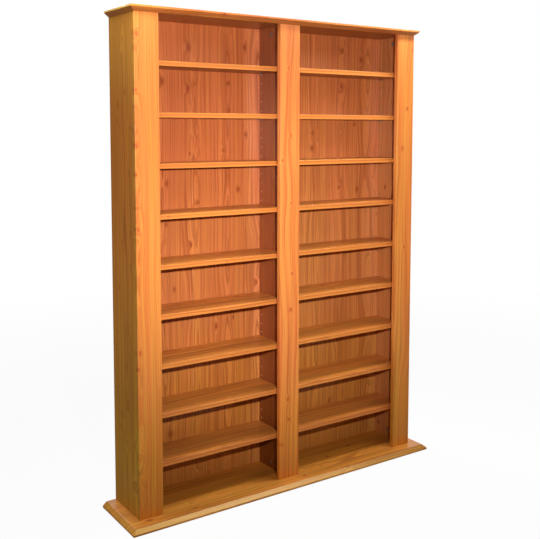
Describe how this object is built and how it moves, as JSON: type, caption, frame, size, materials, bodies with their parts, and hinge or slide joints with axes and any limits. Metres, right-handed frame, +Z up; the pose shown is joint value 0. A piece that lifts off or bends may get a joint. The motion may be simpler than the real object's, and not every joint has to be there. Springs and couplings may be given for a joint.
{
  "type": "media storage shelf",
  "caption": "Tall two-bay media shelf: loose shallow shelves on pins, flat front stiles, folding hardboard back, bevelled top and a wide bevelled base board.",
  "frame": {"origin": "on the floor, under the middle of the whole outline, which is the middle of the base board's rectangle", "axes": "+X to the right for a person facing the open front, +Y to the rear, +Z up"},
  "size_m": [1.236, 0.244, 1.612],
  "materials": {
    "carcass_board": "satin pine-effect foil on particle board",
    "stile_board": "satin pine-effect foil on particle board",
    "shelf_board": "satin pine-effect foil on particle board, edged in front",
    "back_hardboard": "pine-effect print on thin hardboard, bare brown behind",
    "beech": "bare beech",
    "zinc": "bright zinc",
    "steel": "nickel-plated steel"
  },
  "bodies": {
    "carcass": {"base_board": "carcass_board", "top_board": "carcass_board", "left_side_panel": "carcass_board", "right_side_panel": "carcass_board", "centre_divider": "carcass_board", "left_stile": "stile_board", "centre_stile": "stile_board", "right_stile": "stile_board", "left_back": "back_hardboard", "right_back": "back_hardboard", "left_fixed_shelf": "shelf_board", "right_fixed_shelf": "shelf_board", "left_bay_shelf_pins": "steel", "right_bay_shelf_pins": "steel", "cam_locks": "zinc", "cam_bolts": "steel", "through_bolt": "steel", "carcass_dowels": "beech", "divider_dowels": "beech", "stile_dowels": "beech"},
    "left_upper_shelf_1": {"left_upper_shelf_1": "shelf_board"},
    "left_upper_shelf_2": {"left_upper_shelf_2": "shelf_board"},
    "left_upper_shelf_3": {"left_upper_shelf_3": "shelf_board"},
    "left_upper_shelf_4": {"left_upper_shelf_4": "shelf_board"},
    "left_lower_shelf_1": {"left_lower_shelf_1": "shelf_board"},
    "left_lower_shelf_2": {"left_lower_shelf_2": "shelf_board"},
    "left_lower_shelf_3": {"left_lower_shelf_3": "shelf_board"},
    "left_lower_shelf_4": {"left_lower_shelf_4": "shelf_board"},
    "right_upper_shelf_1": {"right_upper_shelf_1": "shelf_board"},
    "right_upper_shelf_2": {"right_upper_shelf_2": "shelf_board"},
    "right_upper_shelf_3": {"right_upper_shelf_3": "shelf_board"},
    "right_upper_shelf_4": {"right_upper_shelf_4": "shelf_board"},
    "right_lower_shelf_1": {"right_lower_shelf_1": "shelf_board"},
    "right_lower_shelf_2": {"right_lower_shelf_2": "shelf_board"},
    "right_lower_shelf_3": {"right_lower_shelf_3": "shelf_board"},
    "right_lower_shelf_4": {"right_lower_shelf_4": "shelf_board"}
  },
  "joints": [
    {"name": "left_upper_shelf_1_lift", "type": "slide", "parent": "carcass", "child": "left_upper_shelf_1", "axis": [0, 0, 1], "range_m": [0, 0.128]},
    {"name": "left_upper_shelf_2_lift", "type": "slide", "parent": "carcass", "child": "left_upper_shelf_2", "axis": [0, 0, 1], "range_m": [0, 0.128]},
    {"name": "left_upper_shelf_3_lift", "type": "slide", "parent": "carcass", "child": "left_upper_shelf_3", "axis": [0, 0, 1], "range_m": [0, 0.128]},
    {"name": "left_upper_shelf_4_lift", "type": "slide", "parent": "carcass", "child": "left_upper_shelf_4", "axis": [0, 0, 1], "range_m": [0, 0.128]},
    {"name": "left_lower_shelf_1_lift", "type": "slide", "parent": "carcass", "child": "left_lower_shelf_1", "axis": [0, 0, 1], "range_m": [0, 0.128]},
    {"name": "left_lower_shelf_2_lift", "type": "slide", "parent": "carcass", "child": "left_lower_shelf_2", "axis": [0, 0, 1], "range_m": [0, 0.128]},
    {"name": "left_lower_shelf_3_lift", "type": "slide", "parent": "carcass", "child": "left_lower_shelf_3", "axis": [0, 0, 1], "range_m": [0, 0.128]},
    {"name": "left_lower_shelf_4_lift", "type": "slide", "parent": "carcass", "child": "left_lower_shelf_4", "axis": [0, 0, 1], "range_m": [0, 0.128]},
    {"name": "right_upper_shelf_1_lift", "type": "slide", "parent": "carcass", "child": "right_upper_shelf_1", "axis": [0, 0, 1], "range_m": [0, 0.128]},
    {"name": "right_upper_shelf_2_lift", "type": "slide", "parent": "carcass", "child": "right_upper_shelf_2", "axis": [0, 0, 1], "range_m": [0, 0.128]},
    {"name": "right_upper_shelf_3_lift", "type": "slide", "parent": "carcass", "child": "right_upper_shelf_3", "axis": [0, 0, 1], "range_m": [0, 0.128]},
    {"name": "right_upper_shelf_4_lift", "type": "slide", "parent": "carcass", "child": "right_upper_shelf_4", "axis": [0, 0, 1], "range_m": [0, 0.128]},
    {"name": "right_lower_shelf_1_lift", "type": "slide", "parent": "carcass", "child": "right_lower_shelf_1", "axis": [0, 0, 1], "range_m": [0, 0.128]},
    {"name": "right_lower_shelf_2_lift", "type": "slide", "parent": "carcass", "child": "right_lower_shelf_2", "axis": [0, 0, 1], "range_m": [0, 0.128]},
    {"name": "right_lower_shelf_3_lift", "type": "slide", "parent": "carcass", "child": "right_lower_shelf_3", "axis": [0, 0, 1], "range_m": [0, 0.128]},
    {"name": "right_lower_shelf_4_lift", "type": "slide", "parent": "carcass", "child": "right_lower_shelf_4", "axis": [0, 0, 1], "range_m": [0, 0.128]}
  ]
}
